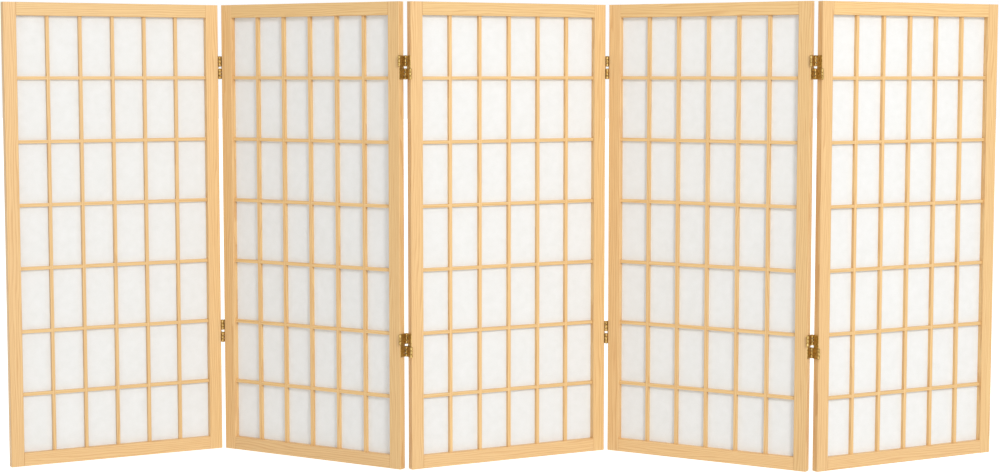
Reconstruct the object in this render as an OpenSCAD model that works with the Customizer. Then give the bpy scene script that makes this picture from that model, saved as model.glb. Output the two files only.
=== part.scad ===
// Free-standing folding screen: paper-backed lattice panels in softwood frames,
// joined edge to edge by brass hinges that let every fold close either way.
// Millimetres. +Z is up. The origin is on the floor under the middle of the middle
// panel. +X runs along the screen, from panel 1 to panel 5, and +Y from front to back.

/* [Screen] */
// Height of every panel
panel_h = 914; // [700:1:1400]
// Width of every panel over its stiles
panel_w = 440; // [340:1:600]
// Thickness of the frame timber, front to back
frame_t = 16; // [14:0.5:24]
// Angle that each panel makes with its neighbour's plane, as the screen stands
fold_angle = 60; // [40:1:75]

/* [Frame] */
// Width of a stile, seen from the front
stile_w = 26; // [20:0.5:40]
// Height of the top rail, seen from the front
top_rail_h = 26; // [18:0.5:40]
// Height of the bottom rail, seen from the front
bottom_rail_h = 26; // [18:0.5:60]
// Bevel planed on the long edges of stiles and rails
edge_bevel = 0.7; // [0.3:0.1:1.5]
// Width of the rebate behind the opening, where the paper is glued
rebate_w = 5; // [3:0.5:8]
// Length of the tenons on the rails
tenon_l = 18; // [10:1:19]
// Thickness of the tenons on the rails
tenon_t = 5; // [3:0.5:6]
// Shoulder left above and below each tenon
tenon_shoulder = 5; // [3:0.5:6]
// Clearance round a tenon or a lattice bar in its slot
joint_play = 0.1; // [0.05:0.05:0.3]

/* [Lattice] */
// Number of columns of panes
columns = 6; // [3:1:8]
// Number of rows of panes
rows = 7; // [3:1:10]
// How much lower the panes of the bottom row are than the others
bottom_row_less = 5.5; // [0:0.5:12]
// Width of a lattice bar, seen from the front
bar_w = 6.4; // [4:0.1:9]
// Depth of a lattice bar, front to back
bar_d = 7; // [4:0.5:8]
// Distance of the bars' fronts behind the front of the frame
bar_recess = 5; // [1.5:0.5:5.5]
// Length of each bar's end inside the frame
bar_tongue = 4.5; // [2:0.5:4.5]
// Thickness of the paper
paper_t = 0.3; // [0.2:0.1:0.6]
// Width of the paper's glued margin behind the frame
paper_lap = 4; // [2:0.5:4.5]

/* [Hinges] */
// Height of the upper hinges' middle below the top of the screen
hinge_from_top = 127; // [90:1:200]
// Height of the lower hinges' middle above the floor
hinge_from_floor = 245; // [150:1:300]
// Thickness of the brass sheet
sheet_t = 1.2; // [0.8:0.1:1.6]
// Gap between the sheets of a closed hinge
sheet_gap = 0.4; // [0.3:0.1:0.8]
// Radius of the hinge pins
pin_r = 1.6; // [1.2:0.1:2.2]
// Wall of the rolled knuckles round the pin
knuckle_wall = 1.15; // [0.9:0.05:1.5]
// Height of one knuckle
knuckle_h = 6.7; // [5:0.1:9]
// Gap between one knuckle and the next
knuckle_gap = 0.3; // [0.1:0.05:0.5]
// Radial clearance of a pin in the knuckles that turn on it
running_fit = 0.05; // [0.02:0.01:0.09]
// Bevel on the ends of the knuckles
knuckle_bevel = 0.9; // [0.2:0.05:0.9]
// Height of the open space between the upper and lower halves of a hinge
hinge_window = 4.6; // [3:0.1:8]
// Clearance between a knuckle and a panel's face when the fold is shut
fold_play = 0.2; // [0.15:0.05:0.6]
// Distance of the sheets' plain edges inside the panel's faces
leaf_inset = 0.6; // [0.5:0.1:1.5]
// Radius of a screw's countersunk head
screw_head_r = 2.5; // [2:0.1:3]
// Radius of a screw's shank
screw_shank_r = 1.2; // [0.9:0.05:1.5]
// Length of a screw
screw_l = 12; // [8:0.5:16]
// Radial clearance of a screw in its holes
screw_play = 0.1; // [0.05:0.05:0.2]

/* [Hidden] */
$fn = 64;
panel_count = 5;
middle_panel = 3;
root_angle = fold_angle / 2;

// Frame and lattice, in a panel's own axes: x across, y from front to back, z up
paper_y = bar_recess + bar_d;
lap_y = bar_recess + bar_d / 2;
rebate_x = stile_w - rebate_w;
tenon_y = (frame_t - tenon_t) / 2;
opening_w = panel_w - 2 * stile_w;
opening_h = panel_h - top_rail_h - bottom_rail_h;
pane_w = (opening_w - (columns - 1) * bar_w) / columns;
pane_h = (opening_h + bottom_row_less - (rows - 1) * bar_w) / rows;
upright_x = [for (i = [1:columns - 1]) stile_w + i * (pane_w + bar_w) - bar_w / 2];
crossbar_z = [for (i = [1:rows - 1])
    panel_h - top_rail_h - i * (pane_h + bar_w) + bar_w / 2];

// Hinges, in a hinge's own axes: x across the gap, y from front to back, z up,
// with the middle of the hinge at the origin
knuckle_r = pin_r + running_fit + knuckle_wall;
pin_beyond_face = knuckle_r + fold_play;
pin_y = frame_t / 2 + pin_beyond_face;
edge_x = 1.5 * sheet_t + sheet_gap;
half_h = 3 * knuckle_h + 2 * knuckle_gap;
half_z = (hinge_window + half_h) / 2;
knuckle_pitch = knuckle_h + knuckle_gap;
notch_play = 0.35;
notch_r = knuckle_r + notch_play;
hinge_z = [hinge_from_floor, panel_h - hinge_from_top];
pin_head_h = 0.5;
pin_head_r = pin_r + 0.4;
screw_point_l = 3;
drive_l = 1.2 * screw_head_r;
drive_w = 0.7;
drive_d = 0.8;
cut = 1;

wood = "burlywood";
paper_white = "whitesmoke";
brass = "darkgoldenrod";

FRAME_PIECES = ["left_stile", "right_stile", "top_rail", "bottom_rail",
                "uprights", "crossbars", "paper",
                "hinge_leaves", "hinge_pins", "hinge_screws"];
NODES = concat(
    [for (n = [1:panel_count]) for (piece = FRAME_PIECES) str("panel_", n, "_", piece)],
    [for (n = [1:panel_count - 1]) for (half = ["upper", "lower"]) link_name(n, half)]);
node = "all";

function link_name(n, half) = str("fold_", n, "_", n + 1, "_", half, "_links");
function wanted(name) = node == "all" || node == name;

// A fold after an even panel is a ridge: it closes on the pins behind the panels.
// A fold after an odd panel is a valley: it closes on the pins in front of them.
function is_ridge(n) = n % 2 == 0;
function fold_pin_y(n) = is_ridge(n) ? frame_t + pin_beyond_face : -pin_beyond_face;
function fold_turn(n) = is_ridge(n) ? fold_angle : -fold_angle;

// ---- Where each panel stands ----

// Carries what follows from panel n's axes to those of panel n + 1
module across_fold(n) {
    translate([panel_w + edge_x, fold_pin_y(n), 0])
        rotate(fold_turn(n))
            translate([edge_x, -fold_pin_y(n), 0])
                children();
}

// Carries what follows from panel n + 1's axes to those of panel n
module back_across_fold(n) {
    translate([-edge_x, fold_pin_y(n), 0])
        rotate(-fold_turn(n))
            translate([-panel_w - edge_x, -fold_pin_y(n), 0])
                children();
}

module at_panel(n) {
    rotate(root_angle)
        translate([-panel_w / 2, -frame_t / 2, 0])
            from_middle(middle_panel, n)
                children();
}

// Steps from one panel to the next until it reaches the wanted one
module from_middle(here, wanted_panel) {
    if (here < wanted_panel)
        across_fold(here) from_middle(here + 1, wanted_panel) children();
    else if (here > wanted_panel)
        back_across_fold(here - 1) from_middle(here - 1, wanted_panel) children();
    else
        children();
}

// Both hinges on a panel's right edge, from the panel's own axes
module at_right_hinges() {
    for (z = hinge_z)
        translate([panel_w + edge_x, frame_t / 2, z])
            children();
}

// Both hinges on a panel's left edge. They are the same hinge turned half round.
module at_left_hinges() {
    for (z = hinge_z)
        translate([-edge_x, frame_t / 2, z])
            rotate(180)
                children();
}

module at_hinges_of(n) {
    if (n > 1)
        at_left_hinges() children();
    if (n < panel_count)
        at_right_hinges() children();
}

// ---- Frame ----

// Section of a stile or rail. x runs from its outer edge to the opening, y to the back.
module member_section(width) {
    b = edge_bevel;
    inner = width - rebate_w;
    polygon([[b, 0], [width - b, 0], [width, b], [width, paper_y], [inner, paper_y],
             [inner, frame_t - b], [inner - b, frame_t], [b, frame_t],
             [0, frame_t - b], [0, b]]);
}

// Slots in a stile for the crossbars' ends
module crossbar_slots() {
    for (z = crossbar_z)
        translate([rebate_x, bar_recess, z - bar_w / 2 - joint_play])
            cube([rebate_w + cut, bar_d, bar_w + 2 * joint_play]);
}

// The mortise for the tenon of a rail whose lower edge is at z
module mortise(z, rail_h) {
    play = joint_play;
    translate([stile_w - tenon_l - play, tenon_y - play, z + tenon_shoulder - play])
        cube([tenon_l + play + cut, tenon_t + 2 * play, rail_h - 2 * tenon_shoulder + 2 * play]);
}

// Pilot holes for hinge screws that enter a stile's outer edge
module pilot_holes() {
    for (z = hinge_z)
        for (side = [-1, 1])
            translate([-cut, frame_t / 2, z + side * half_z])
                rotate([0, 90, 0])
                    cylinder(r = screw_shank_r + screw_play, h = screw_l - sheet_t + 2 * cut);
}

// The left stile. A right one is its mirror image.
module stile(has_hinges) {
    difference() {
        linear_extrude(panel_h) member_section(stile_w);
        crossbar_slots();
        mortise(0, bottom_rail_h);
        mortise(panel_h - top_rail_h, top_rail_h);
        if (has_hinges)
            pilot_holes();
    }
}

module left_stile(n) {
    color(wood) at_panel(n) stile(n > 1);
}

module right_stile(n) {
    color(wood) at_panel(n)
        translate([panel_w, 0, 0]) mirror([1, 0, 0]) stile(n < panel_count);
}

// A rail standing on its outer edge, with the opening above it
module rail(rail_h) {
    back_l = panel_w - 2 * rebate_x;
    difference() {
        translate([rebate_x, 0, 0])
            rotate([90, 0, 90])
                linear_extrude(back_l) mirror([1, -1]) member_section(rail_h);
        for (x = [rebate_x - cut, panel_w - stile_w])
            translate([x, -cut, -cut])
                cube([rebate_w + cut, paper_y + cut, rail_h + 2 * cut]);
        for (x = upright_x)
            translate([x - bar_w / 2 - joint_play, bar_recess, rail_h - rebate_w])
                cube([bar_w + 2 * joint_play, bar_d, rebate_w + cut]);
    }
    for (x = [stile_w - tenon_l, panel_w - stile_w])
        translate([x, tenon_y, tenon_shoulder])
            cube([tenon_l, tenon_t, rail_h - 2 * tenon_shoulder]);
}

module bottom_rail(n) {
    color(wood) at_panel(n) rail(bottom_rail_h);
}

module top_rail(n) {
    color(wood) at_panel(n)
        translate([0, 0, panel_h]) mirror([0, 0, 1]) rail(top_rail_h);
}

// ---- Lattice and paper ----

// The upright bars pass in front of the crossbars: each is halved where they cross
module uprights(n) {
    low = bottom_rail_h - bar_tongue;
    high = panel_h - top_rail_h + bar_tongue;
    color(wood) at_panel(n)
        for (x = upright_x)
            difference() {
                translate([x - bar_w / 2, bar_recess, low])
                    cube([bar_w, bar_d, high - low]);
                for (z = crossbar_z)
                    translate([x - bar_w, lap_y, z - bar_w / 2 - joint_play])
                        cube([2 * bar_w, bar_d, bar_w + 2 * joint_play]);
            }
}

module crossbars(n) {
    left = stile_w - bar_tongue;
    color(wood) at_panel(n)
        for (z = crossbar_z)
            difference() {
                translate([left, bar_recess, z - bar_w / 2])
                    cube([panel_w - 2 * left, bar_d, bar_w]);
                for (x = upright_x)
                    translate([x - bar_w / 2 - joint_play, lap_y - bar_d, z - bar_w])
                        cube([bar_w + 2 * joint_play, bar_d, 2 * bar_w]);
            }
}

// One sheet, glued to the backs of the bars and to the frame's rebate
module paper(n) {
    color(paper_white) at_panel(n)
        translate([stile_w - paper_lap, paper_y, bottom_rail_h - paper_lap])
            cube([opening_w + 2 * paper_lap, paper_t, opening_h + 2 * paper_lap]);
}

// ---- Hinges ----

// A rolled knuckle standing on the origin, solid until it is bored
module knuckle() {
    b = knuckle_bevel;
    rotate_extrude()
        polygon([[0, 0], [knuckle_r - b, 0], [knuckle_r, b], [knuckle_r, knuckle_h - b],
                 [knuckle_r - b, knuckle_h], [0, knuckle_h]]);
}

// The two outer knuckles of one half of a hinge, whose middle is at z
module outer_knuckles(z) {
    for (i = [0, 2])
        translate([0, 0, z - half_h / 2 + i * knuckle_pitch]) knuckle();
}

// Room for the middle knuckle that turns between them
module middle_notch(z) {
    translate([0, 0, z])
        cylinder(r = notch_r, h = knuckle_h + 2 * knuckle_gap, center = true);
}

module bore(r, z) {
    translate([0, 0, z]) cylinder(r = r, h = half_h + 2 * cut, center = true);
}

// The sheet of a leaf, screwed to the edge of the panel on the left of the gap
module leaf_sheet() {
    plain_y = frame_t / 2 - leaf_inset;
    top_z = half_z + half_h / 2;
    window_z = hinge_window / 2;
    translate([-edge_x, 0, 0])
        rotate([90, 0, 90])
            linear_extrude(sheet_t)
                polygon([[-pin_y, window_z], [-plain_y, window_z], [-plain_y, -top_z],
                         [pin_y, -top_z], [pin_y, -window_z], [plain_y, -window_z],
                         [plain_y, top_z], [-pin_y, top_z]]);
}

// Cone through the sheet, as wide as the screw's head at the sheet's face
module countersink() {
    p = screw_play;
    rotate([0, -90, 0]) {
        cylinder(r1 = screw_shank_r + p, r2 = screw_head_r + p, h = sheet_t);
        translate([0, 0, sheet_t]) cylinder(r = screw_head_r + p, h = cut);
        translate([0, 0, -cut]) cylinder(r = screw_shank_r + p, h = 2 * cut);
    }
}

// A leaf of the panel on the left. Its upper knuckles are in front, its lower behind.
module leaf() {
    difference() {
        union() {
            leaf_sheet();
            translate([0, -pin_y, 0]) outer_knuckles(half_z);
            translate([0, pin_y, 0]) outer_knuckles(-half_z);
        }
        for (side = [-1, 1]) {
            translate([0, -side * pin_y, 0]) {
                middle_notch(side * half_z);
                bore(pin_r, side * half_z);
            }
            translate([-edge_x, 0, side * half_z]) mirror([1, 0, 0]) countersink();
        }
    }
}

// A link crosses the gap from the front pin to the back pin in one half of a hinge
module link() {
    difference() {
        union() {
            cube([sheet_t, 2 * pin_y, half_h], center = true);
            for (y = [-pin_y, pin_y])
                translate([0, y, -knuckle_h / 2]) knuckle();
        }
        for (y = [-pin_y, pin_y])
            translate([0, y, 0]) {
                for (z = [-knuckle_pitch, knuckle_pitch])
                    middle_notch(z);
                bore(pin_r + running_fit, 0);
            }
    }
}

// Pin with a small upset head at each end, centred on the origin
module pin() {
    r = pin_r;
    z = half_h / 2;
    rotate_extrude()
        polygon([[0, -z - pin_head_h], [r, -z - pin_head_h], [pin_head_r, -z],
                 [r, -z], [r, z], [pin_head_r, z], [r, z + pin_head_h],
                 [0, z + pin_head_h]]);
}

// Countersunk wood screw, its head's face at the origin and its point towards -x
module screw() {
    rotate([0, -90, 0])
        difference() {
            rotate_extrude()
                polygon([[0, 0], [screw_head_r, 0], [screw_shank_r, sheet_t],
                         [screw_shank_r, screw_l - screw_point_l], [0, screw_l]]);
            for (turn = [0, 90])
                rotate(turn)
                    translate([-drive_l / 2, -drive_w / 2, -cut])
                        cube([drive_l, drive_w, cut + drive_d]);
        }
}

module hinge_leaves(n) {
    color(brass) at_panel(n) at_hinges_of(n) leaf();
}

// A pin is held in the leaf that it passes through, and the link turns on it
module hinge_pins(n) {
    color(brass) at_panel(n) at_hinges_of(n)
        for (side = [-1, 1])
            translate([0, -side * pin_y, side * half_z]) pin();
}

module hinge_screws(n) {
    color(brass) at_panel(n) at_hinges_of(n)
        for (side = [-1, 1])
            translate([-edge_x + sheet_t, 0, side * half_z]) screw();
}

// Links of the fold after panel n, in its upper or lower halves. As the screen stands,
// the upper links lie on the left panel of a ridge and on the right one of a valley.
module links(n, half) {
    side = half == "upper" ? 1 : -1;
    on_left = is_ridge(n) == (side > 0);
    color(brass)
        if (on_left)
            at_panel(n) at_right_hinges() translate([0, 0, side * half_z]) link();
        else
            at_panel(n + 1) at_left_hinges() translate([0, 0, side * half_z]) link();
}

// ---- Drawing ----

for (n = [1:panel_count]) {
    if (wanted(str("panel_", n, "_left_stile"))) left_stile(n);
    if (wanted(str("panel_", n, "_right_stile"))) right_stile(n);
    if (wanted(str("panel_", n, "_top_rail"))) top_rail(n);
    if (wanted(str("panel_", n, "_bottom_rail"))) bottom_rail(n);
    if (wanted(str("panel_", n, "_uprights"))) uprights(n);
    if (wanted(str("panel_", n, "_crossbars"))) crossbars(n);
    if (wanted(str("panel_", n, "_paper"))) paper(n);
    if (wanted(str("panel_", n, "_hinge_leaves"))) hinge_leaves(n);
    if (wanted(str("panel_", n, "_hinge_pins"))) hinge_pins(n);
    if (wanted(str("panel_", n, "_hinge_screws"))) hinge_screws(n);
}
for (n = [1:panel_count - 1])
    for (half = ["upper", "lower"])
        if (wanted(link_name(n, half))) links(n, half);
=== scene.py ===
# %% [markdown]
# A folding shoji screen stands on the floor in a zigzag: five framed lattices of pale
# spruce, each backed with one sheet of white paper, joined by brass hinges. The packed
# model already holds every piece at its true size and place, so this lesson only gives
# it light, finishes, and sheets of paper in place of the plain solids that stand for them.

import math

import bpy
from mathutils import Matrix, Vector, noise


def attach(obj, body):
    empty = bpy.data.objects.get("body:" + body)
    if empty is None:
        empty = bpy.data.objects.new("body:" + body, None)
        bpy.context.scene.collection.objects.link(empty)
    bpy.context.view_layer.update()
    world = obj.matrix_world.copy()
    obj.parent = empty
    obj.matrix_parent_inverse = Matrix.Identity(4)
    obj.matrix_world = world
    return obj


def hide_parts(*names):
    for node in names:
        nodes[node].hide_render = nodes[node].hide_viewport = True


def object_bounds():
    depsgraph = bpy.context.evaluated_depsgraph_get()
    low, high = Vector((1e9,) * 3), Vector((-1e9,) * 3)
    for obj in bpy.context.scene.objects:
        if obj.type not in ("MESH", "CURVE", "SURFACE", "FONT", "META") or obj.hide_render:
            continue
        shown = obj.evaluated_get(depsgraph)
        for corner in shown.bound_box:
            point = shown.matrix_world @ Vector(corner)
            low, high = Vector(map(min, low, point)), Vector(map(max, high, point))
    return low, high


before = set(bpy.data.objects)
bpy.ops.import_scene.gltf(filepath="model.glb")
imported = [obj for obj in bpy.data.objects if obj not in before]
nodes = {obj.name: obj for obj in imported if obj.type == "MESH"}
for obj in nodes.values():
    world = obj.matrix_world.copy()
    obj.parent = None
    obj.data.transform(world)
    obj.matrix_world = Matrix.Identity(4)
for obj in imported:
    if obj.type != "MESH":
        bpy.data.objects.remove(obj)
cad_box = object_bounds()

# %% [markdown]
# The camera stands a little lower than the top of the screen, about four metres in front
# of it and a hand's breadth to the right, and looks slightly down. From so far off, with
# a lens of about twice the sensor's width, the panels' edges stay nearly upright.

# %% Camera
SENSOR_MM = 36.0
LENS_MM = 72.2
CAMERA_AT = Vector((0.097, -3.997, 0.777))      # metres
CAMERA_DOWN = math.radians(4.687)
CAMERA_LEFT = math.radians(1.64)

camera_data = bpy.data.cameras.new("camera")
camera_data.sensor_width = SENSOR_MM
camera_data.lens = LENS_MM
camera = bpy.data.objects.new("camera", camera_data)
camera.location = CAMERA_AT
camera.rotation_euler = (math.pi / 2 - CAMERA_DOWN, 0, CAMERA_LEFT)
bpy.context.scene.collection.objects.link(camera)
bpy.context.scene.camera = camera
print("camera", [round(c, 3) for c in camera.location], "lens", camera_data.lens)

# %% [markdown]
# Colours are written as the sRGB hex values that a painter would pick, and the shaders
# want linear light, so one function converts them. A second one adds a node, sets its
# settings and fills or links its inputs: every material below is made with it.

# %% Colour and node helpers
def linear(hex_colour):
    """An sRGB colour such as "#EBC18A" as linear RGBA, by the sRGB standard's own curve."""
    parts = [int(hex_colour[i:i + 2], 16) / 255 for i in (1, 3, 5)]
    return [p / 12.92 if p <= 0.04045 else ((p + 0.055) / 1.055) ** 2.4 for p in parts] + [1.0]


def add_node(tree, kind, inputs=None, **settings):
    """Adds a node. inputs maps a socket's name or number to a value or an output socket."""
    node = tree.nodes.new(kind)
    for name, value in settings.items():
        setattr(node, name, value)
    for socket, source in (inputs or {}).items():
        if isinstance(source, bpy.types.NodeSocket):
            tree.links.new(source, node.inputs[socket])
        else:
            node.inputs[socket].default_value = source
    return node


def new_material(name):
    """An empty node material, and its tree."""
    material = bpy.data.materials.new(name)
    material.use_nodes = True
    material.node_tree.nodes.clear()
    return material, material.node_tree


# %% [markdown]
# The screen stands on a white acrylic sweep, lit from inside as a product table is, so
# the ground stays bright and takes only a soft shadow. A plane with some emission of its
# own does that. It lies a hair below the feet, so that no two faces share one plane, and
# it is hidden from diffuse rays, so that its glow doesn't flatten the shading of the wood.

# %% Floor
FLOOR_SIZE = 60.0               # metres, so that its edge is out of sight
FLOOR_BELOW = 0.0005
ACRYLIC = "#E6E6E4"
ACRYLIC_ROUGH = 0.6
ACRYLIC_GLOW = 0.66
WHITE = "#FFFFFF"

bpy.ops.object.select_all(action="DESELECT")
bpy.ops.mesh.primitive_plane_add(size=FLOOR_SIZE, location=(0, 0, cad_box[0].z - FLOOR_BELOW))
floor = bpy.context.object
floor.name = "floor"
acrylic, tree = new_material("acrylic_sheet_lit")
surface = add_node(tree, "ShaderNodeBsdfPrincipled", {
    "Base Color": linear(ACRYLIC), "Roughness": ACRYLIC_ROUGH,
    "Emission Color": linear(WHITE), "Emission Strength": ACRYLIC_GLOW})
add_node(tree, "ShaderNodeOutputMaterial", {"Surface": surface.outputs[0]})
floor.data.materials.append(acrylic)
floor.visible_diffuse = False
print("floor", FLOOR_SIZE, "m")

# %% [markdown]
# The room round the screen is white to the camera and a little less bright as light. A
# Light Path node tells the two apart, which leaves the gentle shaping of the panels to
# one large soft lamp, high and to the right of the camera. A disk is used because its
# reflection in the lacquer and the brass has no corners.

# %% Room and lamp
ROOM_LIGHT = 0.78
KEY_DISTANCE = 4.5              # metres from the middle of the screen
KEY_RIGHT = math.radians(25)
KEY_UP = math.radians(24)
KEY_SIZE = 1.1                  # metres across
KEY_POWER = 96                  # watts

world = bpy.data.worlds.new("white_room")
bpy.context.scene.world = world
world.use_nodes = True
tree = world.node_tree
tree.nodes.clear()
seen = add_node(tree, "ShaderNodeLightPath").outputs["Is Camera Ray"]
strength = add_node(tree, "ShaderNodeMapRange", {
    "Value": seen, "To Min": ROOM_LIGHT, "To Max": 1.0})
room = add_node(tree, "ShaderNodeBackground", {
    "Color": linear(WHITE), "Strength": strength.outputs[0]})
add_node(tree, "ShaderNodeOutputWorld", {"Surface": room.outputs[0]})

middle = (cad_box[0] + cad_box[1]) / 2
key_data = bpy.data.lights.new("key", "AREA")
key_data.shape = "DISK"
key_data.size = KEY_SIZE
key_data.energy = KEY_POWER
key = bpy.data.objects.new("key", key_data)
towards = Vector((math.sin(KEY_RIGHT) * math.cos(KEY_UP),
                  -math.cos(KEY_RIGHT) * math.cos(KEY_UP),
                  math.sin(KEY_UP)))
key.location = middle + KEY_DISTANCE * towards
key.rotation_euler = towards.to_track_quat("Z", "Y").to_euler()
bpy.context.scene.collection.objects.link(key)
bpy.context.scene.view_settings.view_transform = "Standard"
print("key lamp at", [round(c, 2) for c in key.location])

# %% [markdown]
# Each panel is turned about the upright, so a grain drawn on the floor's axes would run
# through the timber at a slant. The paper is the flattest piece of a panel, and its
# largest face says which way the panel faces. From that come the panel's own axes: x
# across the panel, y from front to back, z up, with the origin at the front's lower left.

# %% Panel axes
PANELS = range(1, 1 + sum(name.endswith("_paper") for name in nodes))


def corners_of(spots):
    """The lowest and the highest corner of the box round some points."""
    by_axis = list(zip(*spots))
    return Vector([min(row) for row in by_axis]), Vector([max(row) for row in by_axis])


def panel_axes(n):
    """The matrix from panel n's axes to the row frame, and the panel's size."""
    faces = nodes[f"panel_{n}_paper"].data.polygons
    normal = max(faces, key=lambda face: face.area).normal
    back = normal if normal.y > 0 else -normal
    turn = Matrix.Rotation(math.atan2(-back.x, back.y), 4, "Z")
    stiles = [v.co for side in ("left", "right")
              for v in nodes[f"panel_{n}_{side}_stile"].data.vertices]
    low, high = corners_of([turn.inverted() @ spot for spot in stiles])
    return turn @ Matrix.Translation(low), high - low


axes = {}
for n in PANELS:
    axes[n], size = panel_axes(n)
    lean = math.degrees(axes[n].to_euler().z)
    print(f"panel {n} leans {lean:.1f} degrees, size", [round(c * 1000) for c in size], "mm")

# %% [markdown]
# The lattice bars stand at even steps, and both the grain and the paper need to know
# where. Each bar's two long edges are read from its own corners, so that they can't be
# wrong when the lattice changes. The five panels are alike, so only the first is read.

# %% Where the bars are
def on_panel(n, piece):
    """The corners of a panel's piece, on the panel's own axes."""
    back = axes[n].inverted()
    return [back @ v.co for v in nodes[f"panel_{n}_{piece}"].data.vertices]


def edges_along(n, piece, axis):
    """Where a piece's long edges cross an axis: two for each bar, from low to high."""
    return sorted({round(spot[axis], 4) for spot in on_panel(n, piece)})


upright_edges = edges_along(1, "uprights", 0)
crossbar_edges = edges_along(1, "crossbars", 2)
BARS = {}                       # the middle of the first bar, and the step to the next
for piece, edges in (("uprights", upright_edges), ("crossbars", crossbar_edges)):
    BARS[piece] = sum(edges[:2]) / 2, edges[2] - edges[0]
    first, pitch = [round(length * 1000, 1) for length in BARS[piece]]
    print(piece, len(edges) // 2, "from", first, "every", pitch, "mm")

# %% [markdown]
# The timber is spruce, sawn on the quarter and planed, with a clear satin lacquer. To
# the eye that is a pale honey colour with straight, close lines along each piece: every
# year's growth is a broad light band that ends in a thin darker one. A wood texture
# could be stretched over the faces, but growth rings are solid things, so they are
# worked out from the distance to the tree's middle, well outside each piece. The same
# sum then gives straight lines on the faces and arcs on the end grain. It starts from
# the directions of each board, because the panels are turned and the rails lie down.

# %% The directions of a board
def board_axes(panel, along):
    """A piece's directions, the last along its grain, which follows the panel's "x" or "z"."""
    turn = axes[panel].to_3x3()
    across, depth, up = turn.col
    columns = (across, depth, up) if along == "z" else (up, depth, -across)
    return Matrix(columns).transposed()


print("rails' grain", [round(c, 2) for c in board_axes(1, "x").col[2]], "on panel 1")

# %% [markdown]
# No two boards come from the same place in a tree. So each piece is given a place of its
# own, worked out from a number and not drawn by chance, and its pattern is read there. A
# group of lattice bars is one object, yet each bar is a stick of its own: a Vector Math
# node set to Snap gives all of one bar the same value, because the bars are evenly
# spaced, and White Noise turns that value into a jump to another part of the tree.

# %% Where a board grew
PITH_AT = (0.07, 0.02)          # metres from the middle of the tree to the panel's corner
PITH_STEP = (0.013, 0.009)      # and how much further off that is from one piece to the next
TRUNK_STEP = 0.61               # metres up the trunk from one board to the next
BAR_JUMP = (0.02, 0.01, 3.0)    # metres: the furthest that a bar's wood is from the group's
WHOLE = 1000.0                  # metres: a cell that holds the whole screen, so nothing is split


def place_in_tree(tree, panel, board, seed, bars):
    """Where each point of a board grew: x and y from the middle of the tree, z up the trunk.
    bars is (middle of the first bar, step to the next), so that each bar has its own wood."""
    pith = Vector((PITH_AT[0] + PITH_STEP[0] * (seed % 5),
                   PITH_AT[1] + PITH_STEP[1] * (seed % 3),
                   TRUNK_STEP * seed))
    coords = add_node(tree, "ShaderNodeTexCoord").outputs["Object"]
    place = add_node(tree, "ShaderNodeMapping", {
        "Vector": coords, "Location": axes[panel].translation - board @ pith,
        "Rotation": board.to_euler()}, vector_type="TEXTURE")
    if not bars:
        return place.outputs[0]
    first, pitch = bars
    from_gap = add_node(tree, "ShaderNodeVectorMath", {
        0: place.outputs[0],
        1: (pitch / 2 - first - pith.x, WHOLE / 2, WHOLE / 2)}, operation="ADD")
    which = add_node(tree, "ShaderNodeVectorMath", {
        0: from_gap.outputs[0], 1: (pitch, WHOLE, WHOLE)}, operation="SNAP")
    jump = add_node(tree, "ShaderNodeTexWhiteNoise", {"Vector": which.outputs[0]})
    return add_node(tree, "ShaderNodeVectorMath", {
        0: jump.outputs["Color"], 1: BAR_JUMP, 2: place.outputs[0]},
        operation="MULTIPLY_ADD").outputs[0]


print("boards lie", TRUNK_STEP, "m apart up the trunk")

# %% [markdown]
# A year's ring is the fraction left over when the distance to the middle is counted in
# rings. Slow noise makes the rings wander, as they do in a real trunk, and noise that is
# drawn out along the grain adds the fine streaks of the fibres. Together they say how
# dark the wood is at each point.

# %% Rings and fibres
RING_MM = 4.2                   # true rings are 1 to 2 mm apart, too fine to show at this size
RING_WANDER = 6.0               # rings
DRIFT_MM = (24.0, 24.0, 300.0)
FIBRE_MM = (0.9, 0.9, 45.0)     # true fibres are finer too
LATE_WOOD = (0.35, 0.95)        # the part of a year in which the wood grows darker
LATE_DARK = 0.45
NOISE_SPREAD = (0.3, 0.7)       # nearly all of a noise's values lie between these
STREAK_DARK = 0.2


def noise_in_mm(tree, spot, size_mm, detail):
    """Noise whose lumps have this size in each direction."""
    lumps = add_node(tree, "ShaderNodeVectorMath", {
        0: spot, 1: [mm / 1000 for mm in size_mm]}, operation="DIVIDE")
    return add_node(tree, "ShaderNodeTexNoise", {
        "Vector": lumps.outputs[0], "Scale": 1.0, "Detail": detail}).outputs["Fac"]


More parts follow.
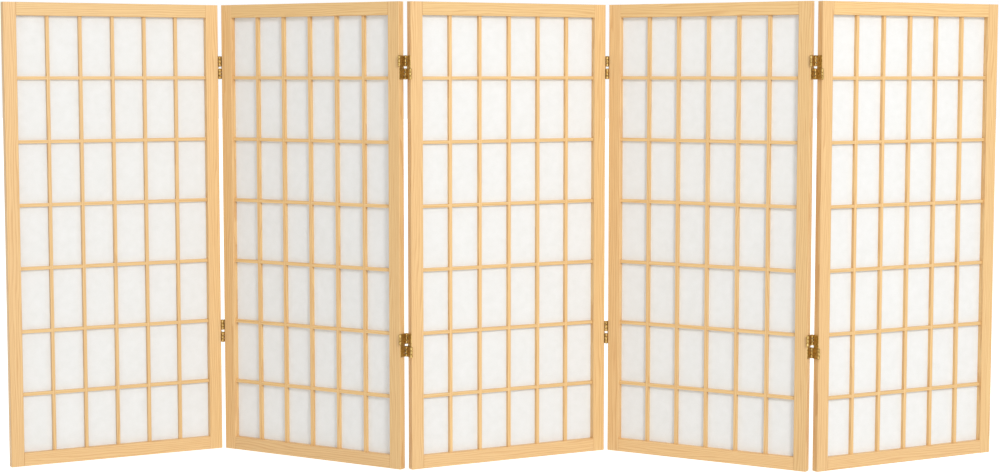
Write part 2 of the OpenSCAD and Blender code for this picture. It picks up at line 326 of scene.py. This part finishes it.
def rings_and_fibres(tree, spot):
    """How dark the wood is, from 0 to 1, and the noise of its fibres."""
    drift = noise_in_mm(tree, spot, DRIFT_MM, 2.0)
    fibre = noise_in_mm(tree, spot, FIBRE_MM, 3.0)
    section = add_node(tree, "ShaderNodeVectorMath", {
        0: spot, 1: (1, 1, 0)}, operation="MULTIPLY")
    radius = add_node(tree, "ShaderNodeVectorMath", {0: section.outputs[0]}, operation="LENGTH")
    rings = add_node(tree, "ShaderNodeMath", {
        0: radius.outputs["Value"], 1: 1000 / RING_MM}, operation="MULTIPLY")
    wander = add_node(tree, "ShaderNodeMath", {
        0: drift, 1: RING_WANDER, 2: rings.outputs[0]}, operation="MULTIPLY_ADD")
    year = add_node(tree, "ShaderNodeMath", {0: wander.outputs[0]}, operation="FRACT")
    late = add_node(tree, "ShaderNodeMapRange", {
        "Value": year.outputs[0], "From Min": LATE_WOOD[0], "From Max": LATE_WOOD[1]},
        interpolation_type="SMOOTHSTEP")
    darker = add_node(tree, "ShaderNodeMath", {
        0: late.outputs[0], 1: LATE_DARK}, operation="MULTIPLY")
    streak = add_node(tree, "ShaderNodeMapRange", {
        "Value": fibre, "From Min": NOISE_SPREAD[0], "From Max": NOISE_SPREAD[1],
        "To Min": -STREAK_DARK, "To Max": STREAK_DARK})
    amount = add_node(tree, "ShaderNodeMath", {
        0: darker.outputs[0], 1: streak.outputs[0]}, operation="ADD", use_clamp=True)
    return amount.outputs[0], fibre


print("rings", RING_MM, "mm apart, fibres", FIBRE_MM[2], "mm long")

# %% [markdown]
# Planed spruce is pale and takes the light evenly, but a sawn end drinks the lacquer and
# goes darker. The end is found from the face's own direction: it is square to the grain.
# Boards also differ a little in tone, so each has its own value and a trace of hue. The
# lacquer is a thin coat over wood that is itself satin, a shade glossier on late wood.

# %% Spruce, planed and lacquered
SPRUCE_LIGHT = "#E4BD81"
SPRUCE_LATE = "#C48B4A"
SPRUCE_END = "#B98748"
END_SQUARE = 0.9                # how square to the grain a face is when it counts as an end
END_SHARE = 0.5
TONE_LEAST = 0.97
TONE_STEP = 0.015
HUE_STEP = 0.002
SPRUCE_ROUGH = (0.52, 0.44)     # early wood, late wood
FIBRE_RELIEF_MM = 0.08
FIBRE_RELIEF_SHARE = 0.25
LACQUER_COAT = 0.25
LACQUER_ROUGH = 0.4
WOOD_IOR = 1.5


def end_grain_share(tree, board):
    """END_SHARE on a sawn end, and 0 on the long faces."""
    facing = add_node(tree, "ShaderNodeVectorMath", {
        0: add_node(tree, "ShaderNodeTexCoord").outputs["Normal"],
        1: board.col[2]}, operation="DOT_PRODUCT")
    square = add_node(tree, "ShaderNodeMath", {0: facing.outputs["Value"]}, operation="ABSOLUTE")
    is_end = add_node(tree, "ShaderNodeMath", {
        0: square.outputs[0], 1: END_SQUARE}, operation="GREATER_THAN")
    return add_node(tree, "ShaderNodeMath", {
        0: is_end.outputs[0], 1: END_SHARE}, operation="MULTIPLY").outputs[0]


def spruce(name, panel, along, seed, bars=None):
    """Spruce whose grain runs along the panel's "x" or "z", different for each seed."""
    material, tree = new_material(name)
    board = board_axes(panel, along)
    spot = place_in_tree(tree, panel, board, seed, bars)
    amount, fibre = rings_and_fibres(tree, spot)
    colour = add_node(tree, "ShaderNodeMix", {
        "Factor": amount, 6: linear(SPRUCE_LIGHT), 7: linear(SPRUCE_LATE)}, data_type="RGBA")
    toned = add_node(tree, "ShaderNodeHueSaturation", {
        "Color": colour.outputs[2], "Hue": 0.5 + HUE_STEP * (seed % 3 - 1),
        "Value": TONE_LEAST + TONE_STEP * (seed * 7 % 5)})
    ended = add_node(tree, "ShaderNodeMix", {
        "Factor": end_grain_share(tree, board),
        6: toned.outputs[0], 7: linear(SPRUCE_END)}, data_type="RGBA")
    rough = add_node(tree, "ShaderNodeMapRange", {
        "Value": amount, "To Min": SPRUCE_ROUGH[0], "To Max": SPRUCE_ROUGH[1]})
    bump = add_node(tree, "ShaderNodeBump", {
        "Strength": FIBRE_RELIEF_SHARE, "Distance": FIBRE_RELIEF_MM / 1000, "Height": fibre})
    surface = add_node(tree, "ShaderNodeBsdfPrincipled", {
        "Base Color": ended.outputs[2], "Roughness": rough.outputs[0], "IOR": WOOD_IOR,
        "Coat Weight": LACQUER_COAT, "Coat Roughness": LACQUER_ROUGH,
        "Normal": bump.outputs[0]})
    add_node(tree, "ShaderNodeOutputMaterial", {"Surface": surface.outputs[0]})
    return material


def finish_node(name, material):
    """Gives a CAD node one material."""
    nodes[name].data.materials.clear()
    nodes[name].data.materials.append(material)


GRAIN = {"left_stile": "z", "right_stile": "z", "top_rail": "x", "bottom_rail": "x",
         "uprights": "z", "crossbars": "x"}
for n in PANELS:
    for k, (piece, along) in enumerate(GRAIN.items()):
        wood = spruce(f"spruce_planed_{piece}_{n}", n, along, len(GRAIN) * n + k, BARS.get(piece))
        finish_node(f"panel_{n}_{piece}", wood)
print("spruce on", len(GRAIN) * len(PANELS), "nodes")

# %% [markdown]
# Shoji paper today is mostly pressed pulp: white, matt and faintly cloudy where the
# pulp lies thicker, with pale fibres in it. Light that falls on one side glows through
# to the other, which is what the paper is there for. A translucent shader beside the
# plain one lets that happen, and then the lattice shows as a shadow from behind.

# %% Pulp paper
PAPER_WHITE = "#F6F6F5"
PAPER_THICK = "#F1F1EF"
CLOUD_MM = 14.0
FELT_MM = 1.6
FELT_TWIST = 1.5
TWO_NOISES = (0.7, 1.3)         # nearly all of their sum lies between these
FELT_RELIEF_MM = 0.1
FELT_RELIEF_SHARE = 0.3
PAPER_ROUGH = 0.92
PAPER_SPECULAR = 0.25
GLOW_THROUGH = 0.35


def pulp_paper():
    """White pressed-pulp paper, matt, that lets a share of the light through."""
    material, tree = new_material("pulp_paper_pressed")
    coords = add_node(tree, "ShaderNodeTexCoord").outputs["Object"]
    cloud = add_node(tree, "ShaderNodeTexNoise", {
        "Vector": coords, "Scale": 1000 / CLOUD_MM, "Detail": 3.0})
    felt = add_node(tree, "ShaderNodeTexNoise", {
        "Vector": coords, "Scale": 1000 / FELT_MM, "Detail": 2.0, "Distortion": FELT_TWIST})
    both = add_node(tree, "ShaderNodeMath", {
        0: cloud.outputs["Fac"], 1: felt.outputs["Fac"]}, operation="ADD")
    amount = add_node(tree, "ShaderNodeMapRange", {
        "Value": both.outputs[0], "From Min": TWO_NOISES[0], "From Max": TWO_NOISES[1]})
    colour = add_node(tree, "ShaderNodeMix", {
        "Factor": amount.outputs[0],
        6: linear(PAPER_WHITE), 7: linear(PAPER_THICK)}, data_type="RGBA")
    bump = add_node(tree, "ShaderNodeBump", {
        "Strength": FELT_RELIEF_SHARE, "Distance": FELT_RELIEF_MM / 1000,
        "Height": felt.outputs["Fac"]})
    surface = add_node(tree, "ShaderNodeBsdfPrincipled", {
        "Base Color": colour.outputs[2], "Roughness": PAPER_ROUGH,
        "Specular IOR Level": PAPER_SPECULAR, "Normal": bump.outputs[0]})
    glow = add_node(tree, "ShaderNodeBsdfTranslucent", {"Color": colour.outputs[2]})
    mixed = add_node(tree, "ShaderNodeMixShader", {
        0: GLOW_THROUGH, 1: surface.outputs[0], 2: glow.outputs[0]})
    add_node(tree, "ShaderNodeOutputMaterial", {"Surface": mixed.outputs[0]})
    return material


paper = pulp_paper()
print("paper", PAPER_WHITE, "to", PAPER_THICK)

# %% [markdown]
# Each panel's paper is one sheet, glued to the backs of the bars and to the frame round
# them. It could be modelled pane by pane, but the real one is whole, and it shows whole
# from behind. So the sheet starts as one flat grid: it has a line along both edges of
# every bar, and even steps fill each pane between them. The grid is made once and copied
# for every panel.

# %% Lines of the paper's grid
PANE_STEPS_ACROSS = 9
PANE_STEPS_UP = 14


def pane_edges(n):
    """Both edges of every pane, across the panel and up it."""
    left = corners_of(on_panel(n, "left_stile"))[1].x
    right = corners_of(on_panel(n, "right_stile"))[0].x
    bottom = corners_of(on_panel(n, "bottom_rail"))[1].z
    top = corners_of(on_panel(n, "top_rail"))[0].z
    return [left, *upright_edges, right], [bottom, *crossbar_edges, top]


def grid_lines(low, high, edges, steps):
    """From one edge of the sheet to the other: even steps in a pane, one step over a bar."""
    lines = [low]
    for start, end in zip(edges[::2], edges[1::2]):
        lines += [start + (end - start) * k / steps for k in range(steps + 1)]
    return lines + [high]


open_x, open_z = pane_edges(1)
low, high = corners_of(on_panel(1, "paper"))
lines_x = grid_lines(low.x, high.x, open_x, PANE_STEPS_ACROSS)
lines_z = grid_lines(low.z, high.z, open_z, PANE_STEPS_UP)
cells = len(lines_x) - 1, len(lines_z) - 1
bpy.ops.object.select_all(action="DESELECT")
bpy.ops.mesh.primitive_grid_add(x_subdivisions=cells[0], y_subdivisions=cells[1], size=1)
blank = bpy.context.object
blank.name = "paper_blank"
print("grid", cells[0], "by", cells[1], "cells")

# %% [markdown]
# The paper was glued on damp and drew tight as it dried, so it is held flat along every
# bar and along the frame, and between them it swells back by a few tenths of a
# millimetre, a little differently in each pane. A cloth simulation could find that
# shape, but a swell this small is quicker drawn than settled: a sine wave over each
# pane, made uneven by noise. Solidify then gives the sheet its thickness.

# %% Paper sheets
SWELL_MM = 0.4
SWELL_WAVE_MM = 70.0
SWELL_EVEN = 0.6                # the share of the swell that every pane has
SWELL_UNEVEN = 0.8              # and the share that the noise adds or takes away
PANEL_APART = 3.7               # metres between two panels in the noise
SMOOTH_BELOW = math.radians(30)


def share_of_pane(spot, edges):
    """0 on a bar or on the frame, rising to 1 at the middle of a pane."""
    for start, end in zip(edges[::2], edges[1::2]):
        if start < spot < end:
            return math.sin(math.pi * (spot - start) / (end - start))
    return 0.0


for n in PANELS:
    sheet = blank.copy()
    sheet.data = blank.data.copy()
    sheet.name = f"paper_sheet_{n}"
    bpy.context.scene.collection.objects.link(sheet)
    for v in sheet.data.vertices:
        x = lines_x[round((v.co.x + 0.5) * cells[0])]
        z = lines_z[round((v.co.y + 0.5) * cells[1])]
        wave = noise.noise(Vector((x, PANEL_APART * n, z)) * 1000 / SWELL_WAVE_MM)
        swell = SWELL_MM / 1000 * (SWELL_EVEN + SWELL_UNEVEN * wave)
        v.co = (x, low.y + swell * share_of_pane(x, open_x) * share_of_pane(z, open_z), z)
    bpy.ops.object.select_all(action="DESELECT")
    sheet.select_set(True)
    bpy.context.view_layer.objects.active = sheet
    bpy.ops.object.modifier_add(type="SOLIDIFY")
    thicken = sheet.modifiers[0]
    thicken.thickness = high.y - low.y
    thicken.offset = 1.0 if sheet.data.polygons[0].normal.y > 0 else -1.0
    bpy.ops.object.modifier_apply(modifier=thicken.name)
    bpy.ops.object.shade_smooth_by_angle(angle=SMOOTH_BELOW)
    sheet.data.transform(axes[n])
    sheet.data.materials.append(paper)
    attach(sheet, f"panel_{n}")
    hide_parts(f"panel_{n}_paper")
    print(sheet.name, round((high.x - low.x) * 1000), "by", round((high.z - low.z) * 1000), "mm")
bpy.data.objects.remove(blank)

# %% [markdown]
# The hinges are rolled from brass sheet and left without polish, so they are a dull
# brown gold with soft, broad highlights. Tarnish lies on them in small patches. The
# narrow gaps between one knuckle and the next are darkened with painted shade, standing
# in for the shadow there: an ambient occlusion node finds those gaps from the shape itself.

# %% Rolled brass
BRASS = "#D8B977"
BRASS_DULL = "#96763D"
TARNISH_MM = 3.5
TARNISH_FROM = 0.35             # noise below this is clean brass
TARNISH_FULL = 0.7
# Painted shade in the gaps between knuckles: how far the occlusion looks, and how dark it paints
GAP_MM = 1.5
GAP_SHUT = 0.2                  # a spot this little open gets the darkest painted shade
GAP_OPEN = 0.75
GAP_SHADE_DARK = 0.4
BRASS_ROUGH = (0.3, 0.5)        # clean, tarnished


def rolled_brass():
    """Rolled brass sheet gone dull, with tarnish in patches and painted shade in the gaps."""
    material, tree = new_material("brass_rolled_dull")
    coords = add_node(tree, "ShaderNodeTexCoord").outputs["Object"]
    patch = add_node(tree, "ShaderNodeTexNoise", {
        "Vector": coords, "Scale": 1000 / TARNISH_MM, "Detail": 4.0})
    amount = add_node(tree, "ShaderNodeMapRange", {
        "Value": patch.outputs["Fac"], "From Min": TARNISH_FROM, "From Max": TARNISH_FULL})
    colour = add_node(tree, "ShaderNodeMix", {
        "Factor": amount.outputs[0], 6: linear(BRASS), 7: linear(BRASS_DULL)}, data_type="RGBA")
    # Painted shade: ambient occlusion darkens the colour in the gaps between knuckles, where
    # shadow falls
    openness = add_node(tree, "ShaderNodeAmbientOcclusion", {
        "Color": colour.outputs[2], "Distance": GAP_MM / 1000}, samples=8)
    painted_gap_shade = add_node(tree, "ShaderNodeMapRange", {
        "Value": openness.outputs["AO"], "From Min": GAP_SHUT, "From Max": GAP_OPEN,
        "To Min": GAP_SHADE_DARK, "To Max": 1.0})
    tarnish_and_gap_shade = add_node(tree, "ShaderNodeMix", {
        "Factor": 1.0, 6: colour.outputs[2], 7: painted_gap_shade.outputs[0]},
        data_type="RGBA", blend_type="MULTIPLY")
    rough = add_node(tree, "ShaderNodeMapRange", {
        "Value": amount.outputs[0], "To Min": BRASS_ROUGH[0], "To Max": BRASS_ROUGH[1]})
    surface = add_node(tree, "ShaderNodeBsdfPrincipled", {
        "Base Color": tarnish_and_gap_shade.outputs[2], "Metallic": 1.0, "Roughness": rough.outputs[0]})
    add_node(tree, "ShaderNodeOutputMaterial", {"Surface": surface.outputs[0]})
    return material


brass = rolled_brass()
hinge_nodes = [name for name in nodes if "hinge" in name or "links" in name]
for name in hinge_nodes:
    finish_node(name, brass)
print("brass on", len(hinge_nodes), "nodes")
